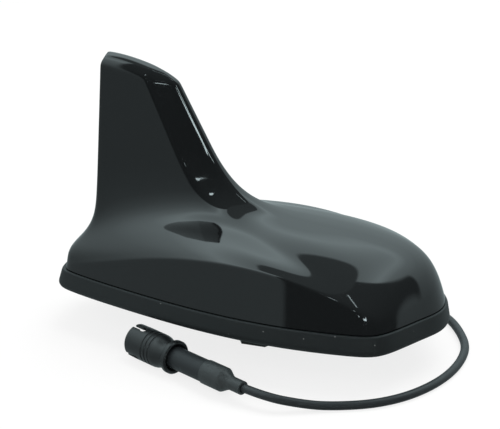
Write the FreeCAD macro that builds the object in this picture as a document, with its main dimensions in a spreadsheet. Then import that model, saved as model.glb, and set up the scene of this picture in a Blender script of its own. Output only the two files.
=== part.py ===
import FreeCAD, Part
import math
import os
import Sketcher

# Shark fin roof aerial. Millimetres, +Z up, +X towards the nose.
# The origin is on the axis of the mounting stud, at the underside that seals to the roof.

SIZES = [
    # The seam is the outline where the cover meets its base
    ("seam_length", 149.5),
    ("seam_width", 76.8),
    ("tail_reach", 76.9),
    ("seam_height", 8.5),
    ("seam_gap", 0.4),
    # Cover walls and shoulder
    ("cover_wall", 2.2),
    ("wall_draft", 12.0),
    ("side_lift", 19.4),
    ("shoulder_crown", 12.0),
    ("root_rear", 9.8),
    ("root_front", 75.4),
    ("root_width", 18.0),
    ("root_low", 27.5),
    ("root_high", 37.8),
    ("root_fillet", 10.4),
    ("crease_band", 1.3),
    ("tail_bulge", 1.6),
    ("nose_swell", 5.0),
    # Fin, measured at its own reference level
    ("fin_top", 93.9),
    ("fin_level", 44.0),
    ("fin_rear", 11.6),
    ("fin_crease", 52.9),
    ("fin_edge", 65.9),
    ("fin_thick", 12.6),
    ("fin_taper", 1.9),
    ("rear_lean", 3.3),
    ("crease_rake", 24.9),
    ("edge_rake", 27.4),
    ("top_drop", 5.5),
    ("top_wedge", 3.1),
    ("top_corner", 3.6),
    # Skirt, base plate and seals
    ("lip_thick", 1.2),
    ("lip_reach", 7.0),
    ("ledge_out", 0.7),
    ("flare_out", 1.9),
    ("rim_set", 0.3),
    ("rim_wall", 2.4),
    ("floor_thick", 2.8),
    ("groove_width", 1.2),
    ("groove_depth", 0.9),
    ("pad_radius", 20.0),
    # Mounting stud, washer, nut
    ("stud_radius", 6.0),
    ("stud_bore", 3.9),
    ("stud_drop", 16.0),
    ("flange_radius", 11.0),
    ("flange_thick", 2.0),
    ("slot_width", 4.4),
    ("slot_top", 3.4),
    ("nut_across", 16.6),
    ("nut_flange", 9.4),
    ("nut_height", 5.4),
    ("nut_flange_thick", 1.6),
    ("washer_radius", 8.6),
    ("washer_thick", 1.2),
    ("fit", 0.15),
    # Circuit board and what stands on it
    ("board_centre", 2.0),
    ("board_length", 62.0),
    ("board_width", 40.0),
    ("board_thick", 1.6),
    ("boss_height", 3.6),
    ("boss_radius", 3.0),
    ("screw_inset", 3.6),
    ("screw_radius", 1.25),
    ("head_radius", 2.4),
    ("head_height", 1.5),
    ("can_centre", 19.0),
    ("can_length", 20.0),
    ("can_width", 22.0),
    ("can_height", 4.5),
    ("can_sheet", 0.5),
    ("blade_thick", 1.6),
    ("blade_front", -6.0),
    ("blade_foot", 20.0),
    ("blade_clear", 3.4),
    ("cap_depth", 13.0),
    ("cap_sheet", 0.5),
    ("clip_leg", 4.6),
    ("clip_width", 4.0),
    ("clip_sheet", 0.6),
    # Cover posts and their screws
    ("post_radius", 2.9),
    ("post_tail_in", 14.9),
    ("post_tail_out", 11.0),
    ("post_mid", 8.0),
    ("post_mid_in", 13.0),
    ("post_nose_in", 23.6),
    ("post_nose_in_side", 16.4),
    ("post_screw", 9.0),
    # Lead
    ("lead_radius", 1.65),
    ("lead_bend", 4.0),
    ("exit_drop", 6.2),
    ("grommet_out", 1.5),
    ("ferrule_wall", 0.6),
    # Plug, measured along its own axis from the front rim of the collar
    ("plug_back", 39.6),
    ("plug_side", 30.5),
    ("plug_turn", 25.4),
    ("collar_radius", 6.5),
    ("collar_bore", 5.3),
    ("socket_depth", 13.0),
    ("neck_radius", 5.0),
    ("ring_start", 19.8),
    ("ring_width", 2.8),
    ("keyway_width", 1.7),
    ("keyway_length", 5.4),
    ("keyway_eye", 1.35),
    ("keyway_turn", 55.0),
    ("grip_start", 9.0),
    ("grip_pitch", 1.9),
    ("grip_depth", 0.3),
    ("shell_radius", 3.9),
    ("shell_wall", 0.4),
    ("shell_start", 5.7),
    ("insulator_start", 7.6),
    ("pin_radius", 0.65),
    ("pin_start", 6.2),
    ("barrel_radius", 4.3),
    ("barrel_end", 47.0),
    ("crimp_radius", 2.5),
    ("crimp_start", 33.0),
    ("crimp_lip", 1.0),
    ("shrink_start", 38.5),
    ("shrink_wall", 0.35),
    ("shrink_neck", 2.6),
    ("shrink_shoulder", 50.3),
    ("shrink_end", 57.3),
    ("lead_straight", 8.7),
]

doc = FreeCAD.newDocument("roof_aerial")
sheet = doc.addObject("Spreadsheet::Sheet", "Sizes")
for row, (alias, number) in enumerate(SIZES, start=1):
    sheet.set("A%d" % row, alias)
    sheet.set("B%d" % row, str(number))
    sheet.setAlias("B%d" % row, alias)
doc.recompute()

nodes = []


def size(alias):
    """One driving dimension, read from the sheet."""
    return float(getattr(sheet, alias))


def keep(item, label):
    """Make an object of the document a node of the model."""
    item.Label = label
    nodes.append(item)
    return item


def place(item, x=None, y=None, z=None):
    """Bind the place of an object to expressions on the sheet."""
    for axis, text in (("x", x), ("y", y), ("z", z)):
        if text is not None:
            item.setExpression("Placement.Base." + axis, text)
    return item


# Sketched bodies

def body(label):
    return keep(doc.addObject("PartDesign::Body", label), label)


def sketch(owner, plane, name):
    """A sketch on one of the body's own origin planes."""
    item = owner.newObject("Sketcher::SketchObject", name)
    support = [f for f in owner.Origin.OriginFeatures if f.Role == plane][0]
    item.AttachmentSupport = (support, [""])
    item.MapMode = "FlatFace"
    return item


def tie(item, geometry, point, across, up):
    """Hold a point of the sketch at two expressions measured from the sketch origin."""
    for kind, text, axis in (("DistanceX", across, -2), ("DistanceY", up, -1)):
        if text == "0":
            item.addConstraint(Sketcher.Constraint("PointOnObject", geometry, point, axis))
        else:
            index = item.addConstraint(Sketcher.Constraint(kind, -1, 1, geometry, point, 5.0 + geometry))
            item.setExpression("Constraints[%d]" % index, text)


def outline(item, corners):
    """A closed outline of straight edges through corners given as expressions."""
    count = len(corners)
    first = item.GeometryCount
    ring = [FreeCAD.Vector(20 * math.cos(2 * math.pi * k / count), 20 * math.sin(2 * math.pi * k / count), 0)
            for k in range(count)]
    for k in range(count):
        item.addGeometry(Part.LineSegment(ring[k], ring[(k + 1) % count]), False)
    for k in range(count):
        item.addConstraint(Sketcher.Constraint("Coincident", first + k, 2, first + (k + 1) % count, 1))
    for k, (across, up) in enumerate(corners):
        tie(item, first + k, 1, across, up)


def circle(item, across, up, radius):
    """A circle with its centre and radius given as expressions. It starts clear of what is already drawn."""
    start = FreeCAD.Vector(6.0 * (item.GeometryCount + 1), 3, 0)
    index = item.addGeometry(Part.Circle(start, FreeCAD.Vector(0, 0, 1), 2), False)
    tie(item, index, 3, across, up)
    held = item.addConstraint(Sketcher.Constraint("Radius", index, 2.0))
    item.setExpression("Constraints[%d]" % held, radius)


def turned(label, plane, axis, corners):
    """A body of revolution: the outline of its half section spun about a sketch axis."""
    owner = body(label)
    section = sketch(owner, plane, label + "_section")
    outline(section, corners)
    spin = owner.newObject("PartDesign::Revolution", label + "_turned")
    spin.Profile = section
    spin.ReferenceAxis = (section, [axis])
    spin.Angle = 360
    section.Visibility = False
    return owner


def padded(label, plane, corners, length, both_ways=False, holes=()):
    """A body pushed out from an outline, with round holes through it."""
    owner = body(label)
    face = sketch(owner, plane, label + "_outline")
    outline(face, corners)
    for across, up, radius in holes:
        circle(face, across, up, radius)
    pad = owner.newObject("PartDesign::Pad", label + "_pad")
    pad.Profile = face
    pad.setExpression("Length", length)
    pad.Midplane = both_ways
    return owner


def cut_through(owner, plane, name, draw, length, both_ways=True, reverse=False):
    """A pocket of a set length in a body. draw fills in its sketch."""
    face = sketch(owner, plane, name + "_outline")
    draw(face)
    pocket = owner.newObject("PartDesign::Pocket", name)
    pocket.Profile = face
    pocket.setExpression("Length", length)
    pocket.Midplane = both_ways
    pocket.Reversed = reverse
    return pocket


def rectangle(left, low, right, high):
    return [(left, low), (right, low), (right, high), (left, high)]


# Outline shared by the cover, the base plate, the skirt and the seals

# Stations round half of the seam, from the middle of the tail to the middle of the nose.
# Each row gives: share of the seam's length and half width, share of the side facet's height,
# share of the fin root's length and half width, place along the fin's section (0 rear, 1 crease,
# 2 leading edge), share of the fin's half thickness, crown low and high on the shoulder,
# roundness at the edge of the nose, share of the way along the fin's top.
STATIONS = [
    (0.000, 0.000, 0.08, 0.000, 0.00, 0.000, 0.00, 0.20, 0.05, 0.00, 0.00),
    (0.000, 0.170, 0.08, 0.000, 0.36, 0.000, 0.50, 0.20, 0.05, 0.00, 0.00),
    (0.001, 0.346, 0.07, 0.009, 0.69, 0.007, 0.92, 0.20, 0.05, 0.00, 0.01),
    (0.022, 0.427, 0.13, 0.045, 0.89, 0.039, 1.00, 0.17, 0.05, 0.00, 0.05),
    (0.133, 0.578, 0.43, 0.130, 0.98, 0.120, 1.00, 0.09, 0.07, 0.00, 0.16),
    (0.280, 0.745, 0.79, 0.281, 1.00, 0.300, 1.00, 0.08, 0.07, 0.00, 0.29),
    (0.447, 0.906, 1.00, 0.440, 1.00, 0.520, 1.00, 0.08, 0.08, 0.00, 0.43),
    (0.648, 1.000, 0.99, 0.600, 0.98, 0.760, 1.00, 0.14, 0.13, 0.00, 0.58),
    (0.832, 0.943, 0.51, 0.720, 0.91, 0.961, 0.99, 0.38, 0.35, 0.16, 0.72),
    (0.890, 0.885, 0.10, 0.788, 0.87, 1.000, 0.97, 0.86, 0.64, 0.70, 0.80),
    (0.928, 0.641, 0.10, 0.864, 0.73, 1.130, 0.85, 1.09, 0.78, 1.00, 0.87),
    (0.971, 0.328, 0.10, 0.947, 0.49, 1.840, 0.40, 1.27, 0.83, 1.30, 0.95),
    (1.000, 0.141, 0.10, 1.000, 0.27, 2.000, 0.26, 1.32, 0.86, 1.40, 1.00),
    (1.000, 0.000, 0.10, 1.000, 0.00, 2.000, 0.00, 1.32, 0.86, 1.40, 1.00),
]
TAIL_FLARE = 0.6        # how much further the skirt leans out at the tail
LOW_SHARE = 0.20        # how far in from the crease the lower shoulder control row lies
HIGH_SHARE = 0.58       # and the upper one


def seam_point(station, out, height):
    """A control point of the seam outline, moved outwards by a distance."""
    along, across = STATIONS[station][:2]
    half_length = size("seam_length") / 2
    half_width = size("seam_width") / 2
    middle = half_length - size("tail_reach")
    x = middle + (along - 0.5) * size("seam_length") * (1 + out / half_length)
    if out > 0:
        x -= TAIL_FLARE * out * (1 - along) ** 6
    y = across * half_width * (1 + out / half_width)
    return FreeCAD.Vector(x, y, height)


def mix(start, end, share):
    return start + (end - start) * share


def raised(point, lift):
    return FreeCAD.Vector(point.x, point.y, point.z + lift)


def knots(count, degree):
    """End-clamped, evenly spaced knots for a number of poles."""
    spans = count - degree
    marks = [k / spans for k in range(spans + 1)]
    times = [degree + 1] + [1] * (spans - 1) + [degree + 1]
    return marks, times


def skin(rows, row_degree):
    """A B-spline face through rows of control points, cubic along each row."""
    row_marks, row_times = knots(len(rows), row_degree)
    marks, times = knots(len(rows[0]), 3)
    surface = Part.BSplineSurface()
    surface.buildFromPolesMultsKnots(rows, row_times, times, row_marks, marks, False, False, row_degree, 3)
    return surface.toShape()


def mirrored(rows):
    return [[FreeCAD.Vector(p.x, -p.y, p.z) for p in row] for row in rows]


def sewn(faces):
    """A solid sewn from faces that meet edge to edge."""
    shell = Part.makeShell(faces)
    shell.sewShape()
    solid = Part.makeSolid(Part.Shell(shell.Faces))
    if solid.Volume < 0:
        solid.reverse()
    return solid


def outline_face(out, height):
    """The flat face inside the seam outline moved outwards by a distance."""
    points = [seam_point(k, out, height) for k in range(len(STATIONS))]
    marks, times = knots(len(points), 3)
    edges = []
    for row in [points] + mirrored([points]):
        curve = Part.BSplineCurve()
        curve.buildFromPolesMultsKnots(row, times, marks, False, 3)
        edges.append(curve.toShape())
    return Part.Face(Part.Wire(Part.__sortEdges__(edges)))


def slab(out, low, high):
    """A prism on the seam outline moved outwards by a distance."""
    return outline_face(out, low).extrude(FreeCAD.Vector(0, 0, high - low))


def band(section):
    """A ring that follows the seam: a closed section of (outwards, height) points carried round it."""
    faces = []
    for near, far in zip(section, section[1:] + section[:1]):
        if near[1] == far[1]:
            inner, outer = sorted((near[0], far[0]))
            faces.append(outline_face(outer, near[1]).cut(outline_face(inner, near[1])))
            continue
        rows = [[seam_point(k, out, height) for k in range(len(STATIONS))] for out, height in (near, far)]
        faces.append(skin(rows, 1))
        faces.append(skin(mirrored(rows), 1))
    return sewn([face for shape in faces for face in shape.Faces])


def made(label, shape):
    """A node whose shape comes from surfaces that no sketch can hold."""
    item = doc.addObject("Part::Feature", label)
    item.Shape = shape
    item.Placement = FreeCAD.Placement()
    return keep(item, label)


# Cover

def slope(degrees):
    return math.tan(math.radians(degrees))


def fin_point(station, height, inset=0.0):
    """A point of the fin's section at a height. The section is a flat panel and a raked facet."""
    chord, share = STATIONS[station][5:7]
    above = height - size("fin_level")
    tail = -size("tail_reach")
    rear = tail + size("fin_rear") + above * slope(size("rear_lean")) + inset
    crease = tail + size("fin_crease") - above * slope(size("crease_rake")) - inset
    edge = tail + size("fin_edge") - above * slope(size("edge_rake")) - 2 * inset
    half = size("fin_thick") / 2 - above * slope(size("fin_taper")) - inset
    if chord <= 1:
        x = rear + chord * (crease - rear)
    else:
        x = crease + (chord - 1) * (edge - crease)
    return FreeCAD.Vector(x, share * half, height)


def root_point(station, inset=0.0):
    """The corner between shoulder and fin, before it is rounded."""
    along, across = STATIONS[station][3:5]
    tail = -size("tail_reach")
    rear = tail + size("root_rear")
    front = tail + size("root_front")
    rise = size("root_high") - size("root_low")
    height = size("root_high") - rise * (1 - along) ** 1.8 - inset
    return FreeCAD.Vector(rear + along * (front - rear), across * size("root_width") / 2, height)


def crease_point(station, inset=0.0):
    """The upper edge of the drafted side wall."""
    lift = STATIONS[station][2] * size("side_lift") - 0.5 * inset
    return seam_point(station, -inset - lift * slope(size("wall_draft")), size("seam_height") + lift)


def shoulder_points(station, start, root):
    """Two control points of the crowned shoulder between the crease and the fin's root."""
    crown = size("shoulder_crown")
    low = raised(mix(start, root, LOW_SHARE), STATIONS[station][7] * crown)
    low.x -= size("tail_bulge") * (1 - STATIONS[station][3]) ** 6
    high = raised(mix(start, root, HIGH_SHARE), STATIONS[station][8] * crown)
    return low, high


def top_point(station):
    """A point on the middle line of the fin's crowned top."""
    share = STATIONS[station][10]
    level = size("fin_top") - size("top_drop")
    rear = fin_point(0, size("fin_top")).x + 0.4 * size("top_corner")
    front = fin_point(len(STATIONS) - 1, level).x - size("top_corner")
    drop = size("top_drop") * share ** 1.7
    return FreeCAD.Vector(rear + share * (front - rear), 0, size("fin_top") - drop)


def cover_rows():
    """Control rows of half of the cover's outside, from the seam up to the ridge of the fin."""
    crease_band = size("crease_band")
    rows = [[] for _ in range(15)]
    for k in range(len(STATIONS)):
        seam = seam_point(k, 0, size("seam_height"))
        crease = crease_point(k)
        root = root_point(k)
        low, high = shoulder_points(k, crease, root)
        roundness = STATIONS[k][9]
        turn = min(crease_band / max((crease - seam).Length, 2 * crease_band), 0.5)
        step = max(crease_band / max((low - crease).Length, 2 * crease_band), 0.20 * roundness)
        foot = root.z + size("root_fillet") * (1 + 0.22 * roundness)
        top = top_point(k)
        shoulder = top.z - size("top_wedge")
        rows[0].append(seam)
        rows[1].append(mix(seam, crease, 0.45))
        rows[2].append(mix(seam, crease, 1 - turn))
        rows[3].append(crease)
        rows[4].append(raised(mix(crease, low, step), size("nose_swell") * roundness))
        rows[5].append(low)
        rows[6].append(high)
        rows[7].append(root)
        rows[8].append(fin_point(k, foot))
        rows[9].append(fin_point(k, foot + 0.33 * (shoulder - foot)))
        rows[10].append(fin_point(k, foot + 0.70 * (shoulder - foot)))
        rows[11].append(fin_point(k, shoulder - crease_band))
        rows[12].append(fin_point(k, shoulder))
        rows[13].append(FreeCAD.Vector(top.x, 0.5 * fin_point(k, shoulder).y, top.z))
        rows[14].append(top)
    return rows


def cavity_rows():
    """Control rows of the hollow under the shoulder, one wall inside the cover."""
    wall = size("cover_wall")
    rows = [[] for _ in range(6)]
    for k in range(len(STATIONS)):
        seam = seam_point(k, -wall, size("seam_height"))
        crease = crease_point(k, wall)
        root = root_point(k, wall)
        low, high = shoulder_points(k, crease, root)
        rows[0].append(seam)
        rows[1].append(mix(seam, crease, 0.5))
        rows[2].append(crease)
        rows[3].append(raised(low, -0.8 * wall))
        rows[4].append(raised(high, -0.8 * wall))
        rows[5].append(FreeCAD.Vector(root.x, 0, root.z))
    return rows


def closed_dome(rows):
    """A dome from half of its control rows, mirrored and closed at its foot."""
    foot = rows[0]
    marks, times = knots(len(foot), 3)
    edges = []
    for row in [foot] + mirrored([foot]):
        curve = Part.BSplineCurve()
        curve.buildFromPolesMultsKnots(row, times, marks, False, 3)
        edges.append(curve.toShape())
    floor = Part.Face(Part.Wire(Part.__sortEdges__(edges)))
    return sewn([skin(rows, 3), skin(mirrored(rows), 3), floor])


def fin_cavity():
    """The slot inside the fin: a drafted blade one wall inside the panels."""
    wall = size("cover_wall")
    levels = (size("root_low") - wall, size("fin_top") - size("top_drop") - size("top_wedge") - wall)
    wires = []
    for height in levels:
        loop = [fin_point(k, height, wall) for k in (1, 3, 9, 12)]
        loop += [FreeCAD.Vector(p.x, -p.y, p.z) for p in reversed(loop)]
        wires.append(Part.makePolygon(loop + loop[:1]))
    return Part.makeLoft(wires, True, True)


def post_places():
    """Places of the screw posts that hang from the cover, measured in from the seam's ends and sides."""
    tail = size("post_tail_in") - size("tail_reach")
    nose = size("seam_length") - size("tail_reach") - size("post_nose_in")
    side = size("seam_width") / 2
    places = []
    for x, y in ((tail, size("post_tail_out")), (-size("post_mid"), side - size("post_mid_in")),
                 (nose, side - size("post_nose_in_side"))):
        places += [(x, y), (x, -y)]
    return places


floor_top = size("lip_thick") + size("floor_thick")
outside = closed_dome(cover_rows())
hollow = closed_dome(cavity_rows()).fuse(fin_cavity())
shell = outside.cut(hollow)
span = size("seam_length") + size("seam_width")
core_corner = FreeCAD.Vector(-span / 2, -span / 2, floor_top)
core = Part.makeBox(span, span, size("seam_height") - floor_top, core_corner)
posts = []
for x, y in post_places():
    post = Part.makeCylinder(size("post_radius"), size("root_high"), FreeCAD.Vector(x, y, floor_top))
    upper = post.common(outside)
    lower = post.common(core)
    posts.append(upper.fuse(lower))
pilots = []
for x, y in post_places():
    start = FreeCAD.Vector(x, y, floor_top)
    pilots.append(Part.makeCylinder(size("screw_radius"), size("post_screw"), start))
cover_shape = shell.multiFuse(posts).removeSplitter()
for pilot in pilots:
    cover_shape = cover_shape.cut(pilot)
made("cover", cover_shape)

# Base plate: a cast tray with an upright rim, board bosses and countersunk holes for the cover screws

rim_out = -size("rim_set")
rim_in = rim_out - size("rim_wall")
tray = slab(rim_out, size("lip_thick"), size("seam_height"))
tray = tray.cut(slab(rim_in, floor_top, size("seam_height") + 1))


def board_screw_places():
    places = []
    for along in (-1, 1):
        for across in (-1, 1):
            x = size("board_centre") + along * (size("board_length") / 2 - size("screw_inset"))
            y = across * (size("board_width") / 2 - size("screw_inset"))
            places.append((x, y))
    return places


for x, y in board_screw_places():
    base = FreeCAD.Vector(x, y, floor_top)
    tray = tray.fuse(Part.makeCylinder(size("boss_radius"), size("boss_height"), base))
    tray = tray.cut(Part.makeCylinder(size("screw_radius"), size("boss_height"), base))
head = size("head_radius") + size("fit")
for x, y in post_places():
    base = FreeCAD.Vector(x, y, size("lip_thick"))
    tray = tray.cut(Part.makeCylinder(size("screw_radius") + size("fit"), size("floor_thick"), base))
    tray = tray.cut(Part.makeCylinder(head, size("head_height"), base))
tray = tray.cut(Part.makeCylinder(size("stud_radius") + size("fit"), floor_top))
groove_mid = rim_out - size("rim_wall") / 2
groove_half = size("groove_width") / 2
groove_floor = size("seam_height") - size("groove_depth")
groove = slab(groove_mid + groove_half, groove_floor, size("seam_height") + 1)
groove = groove.cut(slab(groove_mid - groove_half, groove_floor - 1, size("seam_height") + 2))
tray = tray.cut(groove)
made("base_plate", tray)

# Cover seal: a rubber cord lying in the groove of the rim

made("cover_seal", band([
    (groove_mid + groove_half, groove_floor),
    (groove_mid + groove_half, size("seam_height")),
    (groove_mid - groove_half, size("seam_height")),
    (groove_mid - groove_half, groove_floor),
]))

# Skirt: a soft band that wraps the rim, flares towards the roof and turns in under the plate

ledge = size("seam_height") - size("seam_gap")
out = size("flare_out")
made("base_skirt", band([
    (rim_out, ledge),
    (size("ledge_out"), ledge),
    (size("ledge_out") + 0.3, ledge - 0.4),
    (out, 2.8),
    (out, 1.7),
    (out - 0.5, 0.5),
    (out - 1.5, 0.0),
    (rim_out - size("lip_reach"), 0.0),
    (rim_out - size("lip_reach"), size("lip_thick")),
    (rim_out, size("lip_thick")),
]))

# Roof seal: a foam ring round the stud, level with the skirt's underside

padded_ring = body("stud_seal")
ring_sketch = sketch(padded_ring, "XY_Plane", "stud_seal_outline")
circle(ring_sketch, "0", "0", "Sizes.pad_radius")
circle(ring_sketch, "0", "0", "Sizes.stud_radius + Sizes.fit")
ring_pad = padded_ring.newObject("PartDesign::Pad", "stud_seal_pad")
ring_pad.Profile = ring_sketch
ring_pad.setExpression("Length", "Sizes.lip_thick")

# Mounting stud: turned, hollow for the lead, with a slot to its lower end

FLOOR_TOP = "Sizes.lip_thick + Sizes.floor_thick"
stud = turned("mounting_stud", "XZ_Plane", "V_Axis", [
    ("Sizes.stud_bore", "-Sizes.stud_drop"),
    ("Sizes.stud_radius - 0.8", "-Sizes.stud_drop"),
    ("Sizes.stud_radius", "-Sizes.stud_drop + 0.8"),
    ("Sizes.stud_radius", FLOOR_TOP),
    ("Sizes.flange_radius", FLOOR_TOP),
    ("Sizes.flange_radius", FLOOR_TOP + " + Sizes.flange_thick"),
    ("Sizes.stud_bore", FLOOR_TOP + " + Sizes.flange_thick"),
])
doc.recompute()
whole_stud = stud.Shape.Volume
cut_through(stud, "YZ_Plane", "stud_slot", lambda face: outline(face, rectangle(
    "-Sizes.slot_width / 2", "-Sizes.stud_drop - 1", "Sizes.slot_width / 2", "-Sizes.slot_top")),
    "Sizes.stud_radius + 1", both_ways=False, reverse=True)
doc.recompute()

# Washer with claws that bite into the roof, and the flanged nut under it

NUT_TOP = "-Sizes.stud_drop + Sizes.nut_height"
washer = turned("claw_washer", "XZ_Plane", "V_Axis", rectangle(
    "Sizes.stud_radius + Sizes.fit", NUT_TOP, "Sizes.washer_radius", NUT_TOP + " + Sizes.washer_thick"))
CLAWS = 8
claw_cut = cut_through(washer, "XY_Plane", "claw_gap", lambda face: outline(face, [
    ("Sizes.stud_radius + 1.2", "0"),
    ("Sizes.washer_radius + 1", "-1.1"),
    ("Sizes.washer_radius + 1", "1.1")]), "3 * Sizes.stud_drop")
claws = washer.newObject("PartDesign::PolarPattern", "claws")
claws.Originals = [claw_cut]
claws.Axis = (claw_cut.Profile[0], ["N_Axis"])
claws.Angle = 360
claws.Occurrences = CLAWS
washer.Tip = claws

HALF_FLAT = "Sizes.nut_across / 2"
HALF_SIDE = "Sizes.nut_across / 2 * 0.57735"
CORNER = "Sizes.nut_across * 0.57735"
nut = padded("mounting_nut", "XY_Plane", [
    (CORNER, "0"),
    (HALF_SIDE, HALF_FLAT),
    ("-" + HALF_SIDE, HALF_FLAT),
    ("-" + CORNER, "0"),
    ("-" + HALF_SIDE, "-" + HALF_FLAT),
    (HALF_SIDE, "-" + HALF_FLAT)],
    "Sizes.nut_height - Sizes.nut_flange_thick", holes=[("0", "0", "Sizes.stud_radius")])
nut_flange = sketch(nut, "XY_Plane", "nut_flange_outline")
circle(nut_flange, "0", "0", "Sizes.nut_flange")
circle(nut_flange, "0", "0", "Sizes.stud_radius")
nut_flange.setExpression("AttachmentOffset.Base.z", "Sizes.nut_height - Sizes.nut_flange_thick")
flange_pad = nut.newObject("PartDesign::Pad", "nut_flange_pad")
flange_pad.Profile = nut_flange
flange_pad.setExpression("Length", "Sizes.nut_flange_thick")
place(nut, z="-Sizes.stud_drop")

# Grommet that fills the slot round the lead

grommet = padded("stud_grommet", "YZ_Plane", rectangle(
    "-Sizes.slot_width / 2", "-Sizes.exit_drop - Sizes.lead_radius - 0.7",
    "Sizes.slot_width / 2", "-Sizes.exit_drop + Sizes.lead_radius + 0.7"),
    "Sizes.stud_radius - Sizes.stud_bore + Sizes.grommet_out",
    holes=[("0", "-Sizes.exit_drop", "Sizes.lead_radius + 0.02")])
place(grommet, x="Sizes.stud_bore")

# Circuit board on its bosses

BOARD_LOW = FLOOR_TOP + " + Sizes.boss_height"
BOARD_TOP = BOARD_LOW + " + Sizes.board_thick"
HALF_BOARD = "Sizes.board_length / 2"
HALF_WIDE = "Sizes.board_width / 2"
SCREW_X = "(Sizes.board_length / 2 - Sizes.screw_inset)"
SCREW_Y = "(Sizes.board_width / 2 - Sizes.screw_inset)"
board_holes = [("0 - Sizes.board_centre", "0", "Sizes.lead_radius + Sizes.fit")]
for along in ("-", ""):
    for across in ("-", ""):
        board_holes.append((along + SCREW_X, across + SCREW_Y, "Sizes.screw_radius + Sizes.fit"))
board = padded("circuit_board", "XY_Plane", rectangle(
    "-" + HALF_BOARD, "-" + HALF_WIDE, HALF_BOARD, HALF_WIDE), "Sizes.board_thick", holes=board_holes)
place(board, x="Sizes.board_centre", z=BOARD_LOW)


def screws(label, places, head_low, shank_low, shank_length):
    """Like screws as one node: a head and a shank at each place."""
    parts = []
    for number, (x, y) in enumerate(places):
        top = doc.addObject("Part::Cylinder", "%s_head_%d" % (label, number))
        top.setExpression("Radius", "Sizes.head_radius")
        top.setExpression("Height", "Sizes.head_height")
        place(top, x=x, y=y, z=head_low)
        shank = doc.addObject("Part::Cylinder", "%s_shank_%d" % (label, number))
        shank.setExpression("Radius", "Sizes.screw_radius")
        shank.setExpression("Height", shank_length)
        place(shank, x=x, y=y, z=shank_low)
        parts += [top, shank]
    group = doc.addObject("Part::MultiFuse", label)
    group.Shapes = parts
    return keep(group, label)


board_places = []
for along in ("-", "+"):
    for across in ("-", ""):
        board_places.append(("Sizes.board_centre " + along + " " + SCREW_X, across + SCREW_Y))
screws("board_screws", board_places, BOARD_TOP, FLOOR_TOP + " + 0.4",
       "Sizes.boss_height - 0.4 + Sizes.board_thick + 0.2")

post_marks = []
for x, y in (("Sizes.post_tail_in - Sizes.tail_reach", "Sizes.post_tail_out"),
             ("-Sizes.post_mid", "Sizes.seam_width / 2 - Sizes.post_mid_in"),
             ("Sizes.seam_length - Sizes.tail_reach - Sizes.post_nose_in",
              "Sizes.seam_width / 2 - Sizes.post_nose_in_side")):
    post_marks += [(x, y), (x, "-(" + y + ")")]
screws("cover_screws", post_marks, "Sizes.lip_thick", "Sizes.lip_thick + 0.2",
       "Sizes.floor_thick - 0.2 + Sizes.post_screw - 0.6")

# Shielding can over the amplifier

can = padded("shield_can", "XY_Plane", rectangle(
    "-Sizes.can_length / 2", "-Sizes.can_width / 2", "Sizes.can_length / 2", "Sizes.can_width / 2"),
    "Sizes.can_height")
cut_through(can, "XY_Plane", "can_inside", lambda face: outline(face, rectangle(
    "-Sizes.can_length / 2 + Sizes.can_sheet", "-Sizes.can_width / 2 + Sizes.can_sheet",
    "Sizes.can_length / 2 - Sizes.can_sheet", "Sizes.can_width / 2 - Sizes.can_sheet")),
    "Sizes.can_height - Sizes.can_sheet", both_ways=False, reverse=True)
place(can, x="Sizes.can_centre", z=BOARD_TOP)

# Upright board in the fin, which carries the radiating element

ABOVE = "(Sizes.fin_top - Sizes.top_drop - Sizes.top_wedge - Sizes.fin_level)"
BLADE_TOP = "Sizes.fin_top - Sizes.top_drop - Sizes.top_wedge - Sizes.blade_clear"
REAR_FOOT = "-Sizes.tail_reach + Sizes.fin_rear + Sizes.blade_clear"
EDGE_FOOT = "-Sizes.tail_reach + Sizes.fin_edge - 2 * Sizes.blade_clear"
REAR_TOP = REAR_FOOT + " + " + ABOVE + " * tan(Sizes.rear_lean * 1deg)"
EDGE_TOP = EDGE_FOOT + " - " + ABOVE + " * tan(Sizes.edge_rake * 1deg)"
blade = padded("element_board", "XZ_Plane", [
    ("Sizes.blade_front - Sizes.blade_foot", BOARD_TOP),
    ("Sizes.blade_front", BOARD_TOP),
    ("Sizes.blade_front", "Sizes.root_low"),
    (EDGE_FOOT, "Sizes.fin_level"),
    (EDGE_TOP, BLADE_TOP),
    (REAR_TOP, BLADE_TOP),
    (REAR_FOOT, "Sizes.fin_level"),
    (REAR_FOOT + " + 4", "Sizes.root_low - 3"),
    ("Sizes.blade_front - Sizes.blade_foot", BOARD_TOP + " + 8"),
], "Sizes.blade_thick", both_ways=True)

# Sheet-metal saddle folded over the top of the upright board

CAP_IN = "Sizes.blade_thick / 2"
CAP_OUT = "Sizes.blade_thick / 2 + Sizes.cap_sheet"
cap = padded("element_cap", "YZ_Plane", [
    ("-(" + CAP_OUT + ")", "-Sizes.cap_depth"),
    ("-(" + CAP_IN + ")", "-Sizes.cap_depth"),
    ("-(" + CAP_IN + ")", "0"),
    (CAP_IN, "0"),
    (CAP_IN, "-Sizes.cap_depth"),
    (CAP_OUT, "-Sizes.cap_depth"),
    (CAP_OUT, "Sizes.cap_sheet"),
    ("-(" + CAP_OUT + ")", "Sizes.cap_sheet"),
], "(" + EDGE_TOP + ") - (" + REAR_TOP + ") - 2")
place(cap, x=REAR_TOP + " + 1", z=BLADE_TOP)


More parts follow.
